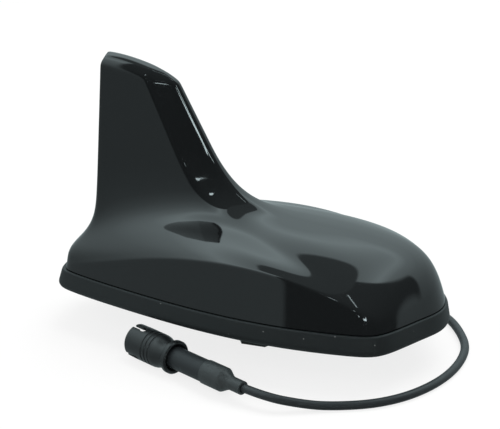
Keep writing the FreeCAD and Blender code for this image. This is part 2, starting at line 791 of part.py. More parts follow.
def angle_clip(number, along):
    """A small soldered angle between the two boards."""
    upright = doc.addObject("Part::Box", "clip_upright_%d" % number)
    upright.setExpression("Length", "Sizes.clip_width")
    upright.setExpression("Width", "Sizes.clip_sheet")
    upright.setExpression("Height", "Sizes.clip_leg")
    place(upright, x=along, y="Sizes.blade_thick / 2", z=BOARD_TOP)
    foot = doc.addObject("Part::Box", "clip_foot_%d" % number)
    foot.setExpression("Length", "Sizes.clip_width")
    foot.setExpression("Width", "Sizes.clip_leg")
    foot.setExpression("Height", "Sizes.clip_sheet")
    place(foot, x=along, y="Sizes.blade_thick / 2", z=BOARD_TOP)
    return [upright, foot]


clips = doc.addObject("Part::MultiFuse", "element_clips")
clips.Shapes = (angle_clip(0, "Sizes.blade_front - Sizes.blade_foot + 2")
                + angle_clip(1, "Sizes.blade_front - Sizes.clip_width - 2"))
keep(clips, "element_clips")

# Leaf spring that feeds the element from the main board

spring = padded("feed_spring", "XZ_Plane", [
    ("0", "0"),
    ("5", "0"),
    ("5", "0.4"),
    ("1.6", "0.4"),
    ("0.4", "5"),
    ("1.4", "7.4"),
    ("1", "7.6"),
    ("0", "5"),
], "3", both_ways=True)
place(spring, x="Sizes.blade_front", z=BOARD_TOP)

# Lead, with its stretch inside the stud


def tube(points, radius, corner_radius=None):
    """A round tube along straight runs joined by tangent arcs. Prints the tightest arc."""
    lengths = [(b - a).Length for a, b in zip(points, points[1:])]
    edges = []
    start = points[0]
    radii = []
    for k in range(1, len(points) - 1):
        into = (points[k] - points[k - 1]).normalize()
        away = (points[k + 1] - points[k]).normalize()
        turn = into.getAngle(away)
        arc_radius = corner_radius or 0.45 * min(lengths[k - 1], lengths[k]) / math.tan(turn / 2)
        reach = arc_radius * math.tan(turn / 2)
        first = points[k] - into * reach
        last = points[k] + away * reach
        bisector = (away - into).normalize()
        centre = points[k] + bisector * (arc_radius / math.cos(turn / 2))
        middle = centre - bisector * arc_radius
        edges.append(Part.LineSegment(start, first).toShape())
        edges.append(Part.Arc(first, middle, last).toShape())
        start = last
        radii.append(arc_radius)
    edges.append(Part.LineSegment(start, points[-1]).toShape())
    path = Part.Wire(edges)
    ring = Part.Wire([Part.Circle(points[0], points[1] - points[0], radius).toShape()])
    solid = path.makePipeShell([ring], True, False)
    print("tube length %.1f" % path.Length, "radii", [round(r, 1) for r in radii])
    print("volume share %.4f" % (solid.Volume / (math.pi * radius ** 2 * path.Length)))
    return solid


lead_radius = size("lead_radius")
exit_level = -size("exit_drop")
lead_start = size("stud_radius") + size("grommet_out")
board_low = floor_top + size("boss_height")
made("lead_inner", tube([
    FreeCAD.Vector(0, 0, board_low),
    FreeCAD.Vector(0, 0, exit_level),
    FreeCAD.Vector(lead_start, 0, exit_level),
], lead_radius, size("lead_bend")))

plug_place = FreeCAD.Placement(
    FreeCAD.Vector(-size("plug_back"), -size("plug_side"), size("collar_radius") - size("stud_drop")),
    FreeCAD.Rotation(FreeCAD.Vector(0, 0, 1), -size("plug_turn")))


def on_plug(along):
    """A point on the plug's axis."""
    return plug_place.multVec(FreeCAD.Vector(along, 0, 0))


# The lead lies on the surface that the stud stands on, and curls round the nose to the plug
ground = lead_radius - size("stud_drop")
LEAD_ROUTE = [
    (16.0, 0.0, exit_level),
    (25.0, 5.5, -9.8),
    (31.4, 14.8, -13.2),
    (32.9, 26.0, ground),
    (36.5, 37.1, ground),
    (45.9, 44.0, ground),
    (57.6, 44.1, ground),
    (67.2, 36.6, ground),
    (73.9, 26.0, ground),
    (78.9, 14.2, ground),
    (79.8, 2.0, ground),
    (78.2, -10.3, ground),
    (74.0, -22.3, ground),
    (67.1, -33.6, ground),
    (57.7, -42.4, ground),
    (46.0, -48.2, ground),
    (36.0, -52.9, -13.3),
]
route = [FreeCAD.Vector(lead_start, 0, exit_level)]
route += [FreeCAD.Vector(*point) for point in LEAD_ROUTE]
route.append(on_plug(size("shrink_end") + size("lead_straight")))
route.append(on_plug(size("barrel_end") + size("crimp_lip")))
made("aerial_lead", tube(route, lead_radius))

ferrule = turned("lead_ferrule", "XZ_Plane", "V_Axis", rectangle(
    "Sizes.lead_radius + 0.02", BOARD_LOW + " - Sizes.boss_height / 2 + 0.3",
    "Sizes.lead_radius + Sizes.ferrule_wall", BOARD_LOW))

# Plug. Its pieces are turned about their own X axis and placed together

plug_nodes = []


def plug_piece(item):
    plug_nodes.append(item)
    return item


def groove_corners():
    """Three shallow grip grooves in the collar's outline."""
    corners = []
    for k in range(3):
        start = "Sizes.grip_start + %d * Sizes.grip_pitch" % k
        corners.append((start, "Sizes.collar_radius"))
        corners.append((start + " + 0.3", "Sizes.collar_radius - Sizes.grip_depth"))
        corners.append((start + " + 0.7", "Sizes.collar_radius - Sizes.grip_depth"))
        corners.append((start + " + 1", "Sizes.collar_radius"))
    return corners


RING_END = "Sizes.ring_start + Sizes.ring_width"
collar = plug_piece(turned("plug_collar", "XZ_Plane", "H_Axis", [
    ("0", "Sizes.collar_bore"),
    ("0", "Sizes.collar_radius - 0.5"),
    ("0.5", "Sizes.collar_radius - 0.1"),
    ("5", "Sizes.collar_radius"),
] + groove_corners() + [
    ("Sizes.grip_start + 3 * Sizes.grip_pitch + 0.4", "Sizes.collar_radius - 0.2"),
    ("Sizes.ring_start - 1.8", "Sizes.neck_radius + 0.3"),
    ("Sizes.ring_start - 0.3", "Sizes.neck_radius"),
    ("Sizes.ring_start + 0.2", "Sizes.collar_radius - 0.5"),
    ("Sizes.ring_start + 0.8", "Sizes.collar_radius"),
    (RING_END + " - 0.6", "Sizes.collar_radius"),
    (RING_END, "Sizes.collar_radius - 0.5"),
    (RING_END + " - 0.2", "Sizes.collar_radius - 1.1"),
    (RING_END + " - 1.4", "Sizes.barrel_radius + Sizes.fit"),
    ("Sizes.socket_depth", "Sizes.barrel_radius + Sizes.fit"),
    ("Sizes.socket_depth", "Sizes.collar_bore"),
]))


def keyway(face):
    outline(face, rectangle(
        "-1", "-Sizes.keyway_width / 2", "Sizes.keyway_length", "Sizes.keyway_width / 2"))


def keyway_eye(face):
    circle(face, "Sizes.keyway_length", "0", "Sizes.keyway_eye")


doc.recompute()
slots = []
for name, draw in (("keyway", keyway), ("keyway_eye", keyway_eye)):
    slots.append(cut_through(collar, "XY_Plane", name, draw, "Sizes.collar_radius + 1",
                             both_ways=False, reverse=True))
doc.recompute()
ring_of_slots = collar.newObject("PartDesign::PolarPattern", "keyways")
ring_of_slots.Originals = slots
x_axis = [f for f in collar.Origin.OriginFeatures if f.Role == "X_Axis"][0]
ring_of_slots.Axis = (x_axis, [""])
ring_of_slots.Angle = 360
ring_of_slots.Occurrences = 3
collar.Tip = ring_of_slots

SOCKET_FLOOR = "Sizes.socket_depth - 2"
SHELL_INSIDE = "Sizes.shell_radius - Sizes.shell_wall"
shell_tube = plug_piece(turned("plug_shell", "XZ_Plane", "H_Axis", rectangle(
    "Sizes.shell_start", SHELL_INSIDE, SOCKET_FLOOR, "Sizes.shell_radius")))
insulator = plug_piece(turned("plug_insulator", "XZ_Plane", "H_Axis", rectangle(
    "Sizes.insulator_start", "Sizes.pin_radius", SOCKET_FLOOR, SHELL_INSIDE)))
pin = plug_piece(turned("plug_pin", "XZ_Plane", "H_Axis", [
    ("Sizes.pin_start", "0"),
    ("Sizes.pin_start", "Sizes.pin_radius - 0.3"),
    ("Sizes.pin_start + 0.5", "Sizes.pin_radius"),
    (SOCKET_FLOOR, "Sizes.pin_radius"),
    (SOCKET_FLOOR, "0"),
]))
barrel = plug_piece(turned("plug_barrel", "XZ_Plane", "H_Axis", [
    (SOCKET_FLOOR, "0"),
    (SOCKET_FLOOR, "Sizes.collar_bore - Sizes.fit"),
    ("Sizes.socket_depth", "Sizes.collar_bore - Sizes.fit"),
    ("Sizes.socket_depth", "Sizes.barrel_radius"),
    ("Sizes.barrel_end", "Sizes.barrel_radius"),
    ("Sizes.barrel_end", "Sizes.crimp_radius"),
    ("Sizes.crimp_start", "Sizes.crimp_radius"),
    ("Sizes.crimp_start", "0"),
]))
crimp = plug_piece(turned("crimp_ferrule", "XZ_Plane", "H_Axis", rectangle(
    "Sizes.crimp_start", "Sizes.lead_radius", "Sizes.barrel_end + Sizes.crimp_lip", "Sizes.crimp_radius")))
shrink = plug_piece(turned("heat_shrink", "XZ_Plane", "H_Axis", [
    ("Sizes.shrink_start", "Sizes.barrel_radius"),
    ("Sizes.shrink_start + 0.2", "Sizes.barrel_radius + Sizes.shrink_wall"),
    ("Sizes.barrel_end + 0.6", "Sizes.barrel_radius + Sizes.shrink_wall"),
    ("Sizes.shrink_shoulder", "Sizes.shrink_neck + 0.5"),
    ("Sizes.shrink_shoulder + 1.2", "Sizes.shrink_neck"),
    ("Sizes.shrink_end", "Sizes.shrink_neck"),
    ("Sizes.shrink_end", "Sizes.lead_radius + 0.02"),
    ("Sizes.barrel_end + Sizes.crimp_lip", "Sizes.lead_radius + 0.02"),
    ("Sizes.barrel_end + Sizes.crimp_lip", "Sizes.crimp_radius"),
    ("Sizes.barrel_end", "Sizes.crimp_radius"),
    ("Sizes.barrel_end", "Sizes.barrel_radius"),
]))
doc.recompute()
for item in plug_nodes:
    item.Placement = plug_place
collar.Placement = plug_place.multiply(FreeCAD.Placement(
    FreeCAD.Vector(0, 0, 0), FreeCAD.Rotation(FreeCAD.Vector(1, 0, 0), size("keyway_turn") - 90)))
doc.recompute()

# Checks on the finished document, and the files

for item in doc.Objects:
    if "Invalid" in item.State or "Error" in item.State:
        raise RuntimeError("%s failed: %s" % (item.Label, item.State))
for item in nodes:
    if item.Shape.isNull() or not item.Shape.isValid():
        raise RuntimeError("%s has no valid shape" % item.Label)
if stud.Shape.Volume >= whole_stud:
    raise RuntimeError("the stud's slot cut nothing")

os.makedirs("parts", exist_ok=True)
for item in nodes:
    item.Shape.exportStep("parts/%s.step" % item.Label)
    print("%-16s solids %2d  volume %9.1f" % (item.Label, len(item.Shape.Solids), item.Shape.Volume))
print(len(nodes), "nodes")
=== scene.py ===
import math

import bmesh
import bpy
import mathutils
import numpy as np
from bpy.props import FloatProperty, FloatVectorProperty, IntProperty, PointerProperty
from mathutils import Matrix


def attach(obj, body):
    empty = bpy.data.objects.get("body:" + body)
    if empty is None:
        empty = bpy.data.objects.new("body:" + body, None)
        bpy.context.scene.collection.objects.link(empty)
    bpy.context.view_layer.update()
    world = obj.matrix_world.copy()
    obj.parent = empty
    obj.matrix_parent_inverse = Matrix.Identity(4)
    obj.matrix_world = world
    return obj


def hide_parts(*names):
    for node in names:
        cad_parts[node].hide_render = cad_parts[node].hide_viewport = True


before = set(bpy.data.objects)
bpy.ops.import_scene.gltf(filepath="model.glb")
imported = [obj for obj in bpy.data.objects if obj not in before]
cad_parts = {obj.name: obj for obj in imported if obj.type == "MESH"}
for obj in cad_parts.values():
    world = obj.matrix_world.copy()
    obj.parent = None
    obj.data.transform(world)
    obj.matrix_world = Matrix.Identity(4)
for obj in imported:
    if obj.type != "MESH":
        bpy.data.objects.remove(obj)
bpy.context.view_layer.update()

bl_info = {
    "name": "Roof aerial dressing",
    "version": (1, 0, 0),
    "blender": (4, 5, 0),
    "location": "3D View > Sidebar > Aerial",
    "description": "Dresses the packed roof aerial with its gloss cover, skirt, lead, plug and studio",
    "category": "Object",
}

MM = 0.001


# Colours and numbers

def srgb(code):
    """An sRGB hex colour as linear red, green, blue and an alpha of one."""
    parts = [int(code[k:k + 2], 16) / 255 for k in (1, 3, 5)]
    return [p / 12.92 if p <= 0.04045 else ((p + 0.055) / 1.055) ** 2.4 for p in parts] + [1.0]


def paint(label, what, code):
    """A colour that the panel shows."""
    return FloatVectorProperty(name=label, description=what, subtype="COLOR", size=4, min=0, max=1,
                               default=srgb(code))


def length(label, what, millimetres):
    """A length that the panel shows."""
    return FloatProperty(name=label, description=what, unit="LENGTH", min=0, precision=5,
                         default=millimetres * MM)


def grid_count(label, what, number):
    """A whole number that the panel shows."""
    return IntProperty(name=label, description=what, default=number, min=20)


class AerialSizes(bpy.types.PropertyGroup):
    """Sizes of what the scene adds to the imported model."""
    cover_rows: grid_count("Cover rows", "Grid rows from the seam to the ridge", 190)
    cover_columns: grid_count("Cover columns", "Grid columns from tail to nose", 150)
    cover_wall: length("Cover wall", "Thickness of the moulded cover", 2.2)
    lead_radius: length("Lead radius", "Half the diameter of the jacket", 1.65)
    edge_round: length("Edge rounding", "Radius worn or moulded on the edges of small parts", 0.12)
    thread_pitch: length("Thread pitch", "Pitch of the stud's thread", 1.5)
    thread_height: length("Thread height", "How far the thread's ridge stands up", 0.45)


class AerialColours(bpy.types.PropertyGroup):
    """Colours of the aerial's finishes."""
    lacquer: paint("Lacquer", "Black lacquer of the cover", "#0c0d0e")
    skirt: paint("Skirt", "Soft black skirt", "#1b1f20")
    rubber: paint("Rubber", "Seals and grommet", "#1d1f20")
    foam: paint("Foam", "Foam ring round the stud", "#2a2b2c")
    jacket: paint("Jacket", "Jacket of the lead", "#212527")
    nylon: paint("Nylon", "Collar of the plug", "#1a1d1e")
    barrel: paint("Barrel", "Barrel of the plug", "#1f2325")
    sleeve: paint("Sleeve", "Shrunk sleeve", "#2e3334")
    zinc: paint("Zinc", "Plated steel", "#7c7c78")
    nut: paint("Nut", "Black passivated nut", "#3a3c3a")
    steel: paint("Spring steel", "Washer and springs", "#c4c2bc")
    casting: paint("Casting", "Cast base plate", "#a3a5a6")
    tin: paint("Tin", "Tinned sheet", "#c6c7c9")
    nickel: paint("Nickel", "Plated plug shell", "#c9c6be")
    gold: paint("Gold", "Gilt pin", "#d9b45c")
    ptfe: paint("Insulator", "White insulator", "#e4e3dc")
    laminate: paint("Laminate", "Green circuit board", "#1c5a38")
    copper: paint("Tracks", "Copper under the resist", "#3c7a4c")
    floor: paint("Floor", "Studio floor", "#f4f4f3")


# Meshes

def grid_faces(rows, columns, around=False):
    """Quads of a grid: each cell joins a vertex to the next along its row and along its column."""
    cells = columns if around else columns - 1
    row, column = np.meshgrid(np.arange(rows - 1), np.arange(cells), indexing="ij")
    across = (column + 1) % columns
    quads = np.stack([row * columns + column, row * columns + across,
                      (row + 1) * columns + across, (row + 1) * columns + column], -1)
    return quads.reshape(-1, 4)


def mesh_piece(name, points, faces, merge=1e-7, sharp=None):
    """A mesh object in the frame, in metres, with doubles merged and faces outwards."""
    mesh = bpy.data.meshes.new(name)
    mesh.from_pydata(np.asarray(points, float).reshape(-1, 3), [], np.asarray(faces).tolist())
    piece = bpy.data.objects.new(name, mesh)
    bpy.context.scene.collection.objects.link(piece)
    tidy_mesh(mesh, merge, sharp)
    return piece


def tidy_mesh(mesh, merge, sharp):
    """Merges doubles, turns faces outwards and shades smooth up to a sharp angle in degrees."""
    work = bmesh.new()
    work.from_mesh(mesh)
    bmesh.ops.remove_doubles(work, verts=work.verts, dist=merge)
    bmesh.ops.dissolve_degenerate(work, edges=work.edges, dist=merge)
    bmesh.ops.recalc_face_normals(work, faces=work.faces)
    for face in work.faces:
        face.smooth = True
    if sharp is not None:
        for edge in work.edges:
            edge.smooth = edge.is_manifold and edge.calc_face_angle(0) < math.radians(sharp)
    work.to_mesh(mesh)
    work.free()


def rounded(corners, radius, steps=4):
    """A closed outline whose corners are turned by quadratic curves from a radius before each corner."""
    corners = np.asarray(corners, float)
    before = np.roll(corners, 1, 0) - corners
    after = np.roll(corners, -1, 0) - corners
    reach_in = np.minimum(radius, 0.45 * np.linalg.norm(before, axis=1))[:, None]
    reach_out = np.minimum(radius, 0.45 * np.linalg.norm(after, axis=1))[:, None]
    start = corners + before / np.linalg.norm(before, axis=1)[:, None] * reach_in
    end = corners + after / np.linalg.norm(after, axis=1)[:, None] * reach_out
    share = np.linspace(0, 1, steps)[None, :, None]
    curve = (1 - share) ** 2 * start[:, None] + share ** 2 * end[:, None]
    curve = curve + 2 * share * (1 - share) * corners[:, None]
    return curve.reshape(-1, corners.shape[1])


def dressed(node, sharp=28, bevel=True):
    """A merged, smooth-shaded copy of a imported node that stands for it, with its edges lightly rounded."""
    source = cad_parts[node]
    mesh = source.data.copy()
    piece = bpy.data.objects.new(node + "_finish", mesh)
    bpy.context.scene.collection.objects.link(piece)
    tidy_mesh(mesh, 2e-6, sharp)
    if bevel:
        edge = piece.modifiers.new("edge", "BEVEL")
        edge.width = bpy.context.scene.aerial_sizes.edge_round
        edge.segments = 2
        edge.limit_method = "ANGLE"
        edge.angle_limit = math.radians(35)
        edge.use_clamp_overlap = True
        edge.harden_normals = True
    return piece


def finish_piece(piece, material, slot, *nodes):
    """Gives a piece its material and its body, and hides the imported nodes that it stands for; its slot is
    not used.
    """
    piece.data.materials.clear()
    piece.data.materials.append(material)
    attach(piece, "root")
    if nodes:
        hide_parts(*nodes)
    return piece


def coat_node(node, material):
    """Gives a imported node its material."""
    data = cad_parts[node].data
    data.materials.clear()
    data.materials.append(material)


# Nodes of materials

def add(tree, kind, inputs=None, **settings):
    """Adds a node, sets its settings, and gives each input a value or joins it to an output."""
    node = tree.nodes.new(kind)
    for key, value in settings.items():
        setattr(node, key, value)
    for key, value in (inputs or {}).items():
        if isinstance(value, bpy.types.NodeSocket):
            tree.links.new(value, node.inputs[key])
        else:
            node.inputs[key].default_value = value
    return node


def new_material(name):
    """A material with an empty tree, its shader and its object coordinates."""
    material = bpy.data.materials.new(name)
    material.use_nodes = True
    tree = material.node_tree
    tree.nodes.clear()
    shader = add(tree, "ShaderNodeBsdfPrincipled")
    output = add(tree, "ShaderNodeOutputMaterial")
    tree.links.new(shader.outputs["BSDF"], output.inputs["Surface"])
    place = add(tree, "ShaderNodeTexCoord").outputs["Object"]
    return material, tree, shader, place


def calc(tree, operation, first, second=0.0, third=0.0):
    """One step of arithmetic on values of a material."""
    return add(tree, "ShaderNodeMath", {0: first, 1: second, 2: third}, operation=operation).outputs[0]


def grain(tree, place, millimetres, detail=3.0, rough=0.6):
    """Noise whose lumps are about so many millimetres across."""
    inputs = {"Vector": place, "Scale": 1 / (millimetres * MM), "Detail": detail, "Roughness": rough}
    return add(tree, "ShaderNodeTexNoise", inputs).outputs["Fac"]


def relief(tree, shader, height, depth_mm, strength=1.0, normal=None):
    """Bump of a real depth on the shader."""
    inputs = {"Height": height, "Distance": depth_mm * MM, "Strength": strength}
    if normal is not None:
        inputs["Normal"] = normal
    bump = add(tree, "ShaderNodeBump", inputs)
    tree.links.new(bump.outputs["Normal"], shader.inputs["Normal"])
    return bump.outputs["Normal"]


def spread(tree, value, low, high, start=0.0, end=1.0):
    """A value between start and end stretched to lie between low and high."""
    return add(tree, "ShaderNodeMapRange", {"Value": value, "From Min": start, "From Max": end,
                                            "To Min": low, "To Max": high}).outputs["Result"]


def blend(tree, factor, low, high, kind="FLOAT"):
    """A value, or with kind RGBA a colour, moved from low to high by a factor."""
    node = add(tree, "ShaderNodeMix", {"Factor": factor, "A": low, "B": high}, data_type=kind)
    return node.outputs["Result"]


def shaded(tree, shader, factor, colour, darker, lighter):
    """The base colour moved between a darker and a lighter shade of itself by a factor."""
    low = [min(c * darker, 1) for c in colour[:3]] + [1]
    high = [min(c * lighter, 1) for c in colour[:3]] + [1]
    result = blend(tree, factor, low, high, "RGBA")
    tree.links.new(result, shader.inputs["Base Color"])
    return result


def colour_of(key):
    """A colour of the panel as red, green, blue and alpha."""
    return list(getattr(bpy.context.scene.aerial_colours, key))


def black_lacquer():
    """Piano black lacquer over moulded ABS: nearly black, mirror smooth, with the faintest long waves."""
    material, tree, shader, place = new_material("black_lacquer_on_abs")
    shader.inputs["Base Color"].default_value = colour_of("lacquer")
    shader.inputs["IOR"].default_value = 1.5
    haze = spread(tree, grain(tree, place, 9.0), 0.035, 0.06, 0.35, 0.65)
    tree.links.new(haze, shader.inputs["Roughness"])
    relief(tree, shader, grain(tree, place, 5.0, 1.0), 0.004, 0.6)
    return material


def moulded_rubber(name, key, rough=0.55, grain_mm=0.35, depth_mm=0.02, shine=0.3):
    """Moulded rubber or soft plastic: dark, satin, with a fine spark-eroded grain and an uneven shine."""
    material, tree, shader, place = new_material(name)
    cloud = grain(tree, place, 6.0)
    shaded(tree, shader, cloud, colour_of(key), 0.86, 1.14)
    tree.links.new(spread(tree, cloud, rough - 0.06, rough + 0.06, 0.3, 0.7), shader.inputs["Roughness"])
    shader.inputs["Specular IOR Level"].default_value = shine
    relief(tree, shader, grain(tree, place, grain_mm, 2.0), depth_mm)
    return material


def dusty_skirt():
    """Soft black skirt: satin moulding with fine grain and a few pale specks of dust."""
    material, tree, shader, place = new_material("moulded_soft_pvc")
    cloud = grain(tree, place, 8.0)
    base = colour_of("skirt")
    low = [c * 0.88 for c in base[:3]] + [1]
    high = [c * 1.12 for c in base[:3]] + [1]
    body = blend(tree, cloud, low, high, "RGBA")
    cells = add(tree, "ShaderNodeTexVoronoi", {"Vector": place, "Scale": 1 / (5.5 * MM), "Randomness": 1.0})
    speck = spread(tree, cells.outputs["Distance"], 0.55, 0.0, 0.02, 0.05)
    tree.links.new(blend(tree, speck, body, srgb("#9fa3a2"), "RGBA"), shader.inputs["Base Color"])
    tree.links.new(spread(tree, cloud, 0.42, 0.52, 0.3, 0.7), shader.inputs["Roughness"])
    shader.inputs["Specular IOR Level"].default_value = 0.25
    relief(tree, shader, grain(tree, place, 0.3, 2.0), 0.015)
    return material


def extruded_jacket():
    """PVC jacket of a lead: satin, with a fine grain and a soft mottling."""
    material, tree, shader, place = new_material("extruded_pvc_jacket")
    cloud = grain(tree, place, 3.0)
    shaded(tree, shader, cloud, colour_of("jacket"), 0.85, 1.15)
    tree.links.new(spread(tree, cloud, 0.38, 0.5, 0.3, 0.7), shader.inputs["Roughness"])
    shader.inputs["Specular IOR Level"].default_value = 0.35
    relief(tree, shader, grain(tree, place, 0.5, 2.0), 0.02)
    return material


def plated_metal(name, key, rough=0.3, scratch_mm=0.25, depth_mm=0.01):
    """Plated steel or brass: metallic, with fine turning marks and a cloudy shine."""
    material, tree, shader, place = new_material(name)
    cloud = grain(tree, place, 3.0)
    shaded(tree, shader, cloud, colour_of(key), 0.85, 1.08)
    shader.inputs["Metallic"].default_value = 1.0
    tree.links.new(spread(tree, cloud, rough - 0.07, rough + 0.1, 0.3, 0.7), shader.inputs["Roughness"])
    relief(tree, shader, grain(tree, place, scratch_mm, 2.0), depth_mm)
    return material


# Height under which the stud is threaded, in millimetres
THREAD_TOP = -0.4


def threaded_metal():
    """Plated steel with a threaded shank: a triangle wave of the height over the pitch less the turn."""
    material = plated_metal("zinc_plated_thread", "zinc", 0.32)
    tree = material.node_tree
    shader = next(n for n in tree.nodes if n.bl_idname == "ShaderNodeBsdfPrincipled")
    sizes = bpy.context.scene.aerial_sizes
    place = add(tree, "ShaderNodeTexCoord").outputs["Object"]
    split = add(tree, "ShaderNodeSeparateXYZ", {"Vector": place}).outputs
    turn = calc(tree, "DIVIDE", calc(tree, "ARCTAN2", split["Y"], split["X"]), 2 * math.pi)
    rise = calc(tree, "SUBTRACT", calc(tree, "DIVIDE", split["Z"], sizes.thread_pitch), turn)
    wave = calc(tree, "PINGPONG", rise, 0.5)
    on_shank = calc(tree, "LESS_THAN", split["Z"], THREAD_TOP * MM)
    relief(tree, shader, calc(tree, "MULTIPLY", wave, on_shank), 2 * sizes.thread_height / MM)
    return material


# Height above which the base plate's rim is painted black, painted shade for the dark gap of the seam, in
# millimetres
RIM_PAINTED_SHADE = 7.0


def cast_alloy():
    """Die-cast alloy: grey, metallic, with the mould's pebbled skin; above the rim's height, painted shade:
    black, dull and not metallic where the rim shows in the seam's gap.
    """
    material, tree, shader, place = new_material("die_cast_alloy")
    cloud = grain(tree, place, 7.0)
    bare = shaded(tree, shader, cloud, colour_of("casting"), 0.8, 1.05)
    height = add(tree, "ShaderNodeSeparateXYZ", {"Vector": place}).outputs["Z"]
    # painted shade: above this height the alloy turns black, dull and not metallic, standing in for the
    # shade in the seam's gap
    black = calc(tree, "GREATER_THAN", height, RIM_PAINTED_SHADE * MM)
    tree.links.new(blend(tree, black, bare, srgb("#08090a"), "RGBA"), shader.inputs["Base Color"])
    tree.links.new(spread(tree, black, 0.9, 0.0), shader.inputs["Metallic"])
    tree.links.new(spread(tree, black, 0.5, 0.1), shader.inputs["Specular IOR Level"])
    tree.links.new(spread(tree, cloud, 0.42, 0.6, 0.3, 0.7), shader.inputs["Roughness"])
    relief(tree, shader, grain(tree, place, 0.8, 4.0), 0.05)
    return material


def circuit_laminate():
    """Glass laminate under green solder resist, with faint copper fields beneath it."""
    material, tree, shader, place = new_material("solder_resist_on_laminate")
    tracks = add(tree, "ShaderNodeTexBrick", {"Vector": place, "Scale": 1 / (6.0 * MM), "Mortar Size": 0.04,
                                              "Color1": colour_of("laminate"), "Color2": colour_of("copper"),
                                              "Mortar": [c * 0.7 for c in colour_of("laminate")[:3]] + [1]})
    tree.links.new(tracks.outputs["Color"], shader.inputs["Base Color"])
    shader.inputs["Roughness"].default_value = 0.3
    relief(tree, shader, grain(tree, place, 0.4), 0.01)
    return material


def turned_ptfe():
    """Turned white insulator: waxy, slightly see-into, with soft tool marks."""
    material, tree, shader, place = new_material("turned_ptfe")
    shaded(tree, shader, grain(tree, place, 2.0), colour_of("ptfe"), 0.95, 1.0)
    shader.inputs["Roughness"].default_value = 0.45
    shader.inputs["Subsurface Weight"].default_value = 0.1
    shader.inputs["Subsurface Scale"].default_value = 0.3 * MM
    relief(tree, shader, grain(tree, place, 0.4), 0.01)
    return material


# The cover's surface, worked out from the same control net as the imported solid

# Each row: share of the seam's length and half width, share of the side facet's height, share of the
# fin root's length and half width, place along the fin's section, share of the fin's half thickness,
# crown low and high on the shoulder, roundness at the edge of the nose, share of the way along the top.
STATIONS = np.array([
    (0.000, 0.000, 0.08, 0.000, 0.00, 0.000, 0.00, 0.20, 0.05, 0.00, 0.00),
    (0.000, 0.170, 0.08, 0.000, 0.36, 0.000, 0.50, 0.20, 0.05, 0.00, 0.00),
    (0.001, 0.346, 0.07, 0.009, 0.69, 0.007, 0.92, 0.20, 0.05, 0.00, 0.01),
    (0.022, 0.427, 0.13, 0.045, 0.89, 0.039, 1.00, 0.17, 0.05, 0.00, 0.05),
    (0.133, 0.578, 0.43, 0.130, 0.98, 0.120, 1.00, 0.09, 0.07, 0.00, 0.16),
    (0.280, 0.745, 0.79, 0.281, 1.00, 0.300, 1.00, 0.08, 0.07, 0.00, 0.29),
    (0.447, 0.906, 1.00, 0.440, 1.00, 0.520, 1.00, 0.08, 0.08, 0.00, 0.43),
    (0.648, 1.000, 0.99, 0.600, 0.98, 0.760, 1.00, 0.14, 0.13, 0.00, 0.58),
    (0.832, 0.943, 0.51, 0.720, 0.91, 0.961, 0.99, 0.38, 0.35, 0.16, 0.72),
    (0.890, 0.885, 0.10, 0.788, 0.87, 1.000, 0.97, 0.86, 0.64, 0.70, 0.80),
    (0.928, 0.641, 0.10, 0.864, 0.73, 1.130, 0.85, 1.09, 0.78, 1.00, 0.87),
    (0.971, 0.328, 0.10, 0.947, 0.49, 1.840, 0.40, 1.27, 0.83, 1.30, 0.95),
    (1.000, 0.141, 0.10, 1.000, 0.27, 2.000, 0.26, 1.32, 0.86, 1.40, 1.00),
    (1.000, 0.000, 0.10, 1.000, 0.00, 2.000, 0.00, 1.32, 0.86, 1.40, 1.00),
])
(ALONG, ACROSS, LIFT, ROOT_ALONG, ROOT_ACROSS, CHORD, THICK,
 CROWN_LOW, CROWN_HIGH, ROUNDNESS, TOP_SHARE) = STATIONS.T

# Sizes of the cover in millimetres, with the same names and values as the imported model's sheet
SEAM_LENGTH = 149.5
SEAM_WIDTH = 76.8
TAIL_REACH = 76.9
SEAM_HEIGHT = 8.5
WALL_DRAFT = 12.0
SIDE_LIFT = 19.4
SHOULDER_CROWN = 12.0
ROOT_REAR = 9.8
ROOT_FRONT = 75.4
ROOT_WIDTH = 18.0
ROOT_LOW = 27.5
ROOT_HIGH = 37.8
ROOT_FILLET = 10.4
FIN_TOP = 93.9
FIN_LEVEL = 44.0
FIN_REAR = 11.6
FIN_CREASE = 52.9
FIN_EDGE = 65.9
FIN_THICK = 12.6
FIN_TAPER = 1.9
REAR_LEAN = 3.3
CREASE_RAKE = 24.9
EDGE_RAKE = 27.4
TOP_DROP = 5.5
TOP_WEDGE = 3.1
TOP_CORNER = 3.6
CREASE_BAND = 1.3
LOW_SHARE = 0.20
HIGH_SHARE = 0.58
TAIL_BULGE = 1.6
TAIL_FLARE = 0.6
# Shares and powers that shape the net between its main rows
TAIL_FADE = 6
ROOT_BOW = 1.8
TOP_BOW = 1.7
WALL_MIDDLE = 0.45
NOSE_STEP = 0.20
NOSE_SWELL = 5.0
NOSE_FOOT = 0.22
PANEL_LOW = 0.33
PANEL_HIGH = 0.70
TOP_FLAT = 0.5
REAR_CORNER = 0.4


def slope(degrees):
    """The run for each unit of rise at an angle."""
    return math.tan(math.radians(degrees))


def seam_points(out, height):
    """The seam's control points moved outwards: both half sizes grow by the same distance."""
    half_length = SEAM_LENGTH / 2
    middle = half_length - TAIL_REACH
    x = middle + (ALONG - 0.5) * SEAM_LENGTH * (1 + out / half_length)
    x = x - np.where(out > 0, TAIL_FLARE * out, 0) * (1 - ALONG) ** TAIL_FADE
    y = ACROSS * SEAM_WIDTH / 2 * (1 + out / (SEAM_WIDTH / 2))
    return np.stack([x, y, np.broadcast_to(height, x.shape)], -1)


